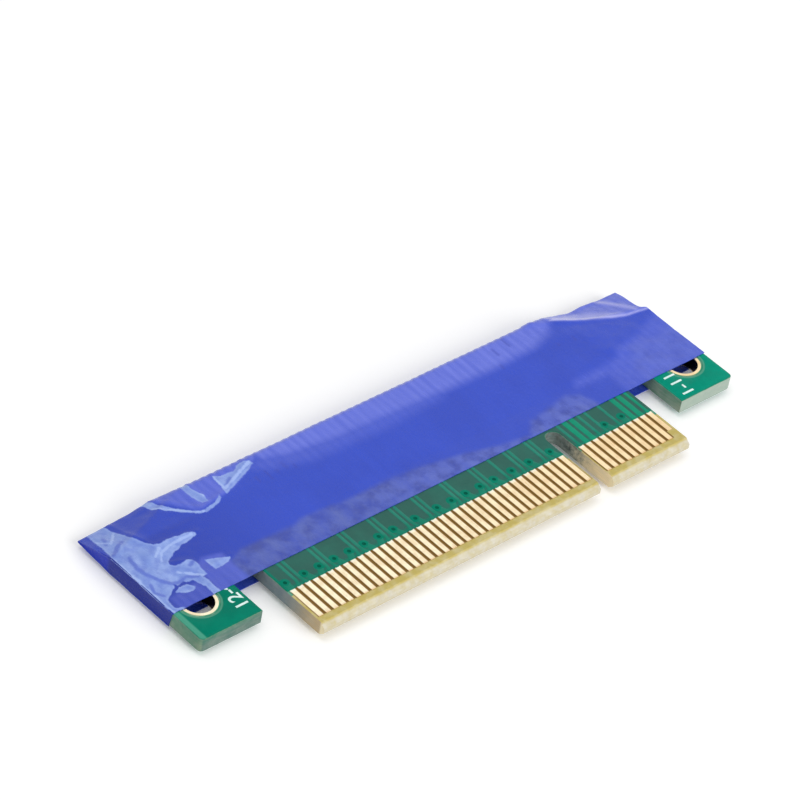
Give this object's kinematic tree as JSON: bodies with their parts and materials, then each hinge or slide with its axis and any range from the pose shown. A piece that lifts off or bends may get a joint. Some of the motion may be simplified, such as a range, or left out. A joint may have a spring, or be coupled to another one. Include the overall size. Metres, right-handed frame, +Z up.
{
  "type": "pcie riser card",
  "caption": "Short card-edge riser board with a keyed gold contact tongue, two end tabs with plated holes and blue insulating tape folded over its far half.",
  "frame": {"origin": "middle of the key slot, on the contact edge, at the underside of the laminate", "axes": "+X along the card towards its short contact group, +Y from the contact edge to the taped far edge, +Z up out of the solder face"},
  "size_m": [0.0745, 0.0237, 0.0027],
  "materials": {
    "laminate": "cut glass-fibre laminate",
    "mask": "semi-gloss green film",
    "gold": "bright gold plating",
    "copper": "copper seen green through the mask",
    "solder": "tinned, satin",
    "tape": "glossy blue film, slightly translucent"
  },
  "bodies": {
    "root": {"board_laminate": "laminate", "front_solder_mask": "mask", "back_solder_mask": "mask", "front_long_contacts": "gold", "front_short_contacts": "gold", "back_long_contacts": "gold", "back_short_contacts": "gold", "left_hole_plating": "gold", "right_hole_plating": "gold", "ground_vias": "gold", "front_tracks": "copper", "back_tracks": "copper", "front_tab_copper": "copper", "back_tab_copper": "copper", "front_solder_lands": "gold", "back_solder_lands": "gold", "front_solder_mounds": "solder", "back_solder_mounds": "solder", "insulating_tape": "tape"}
  },
  "joints": []
}
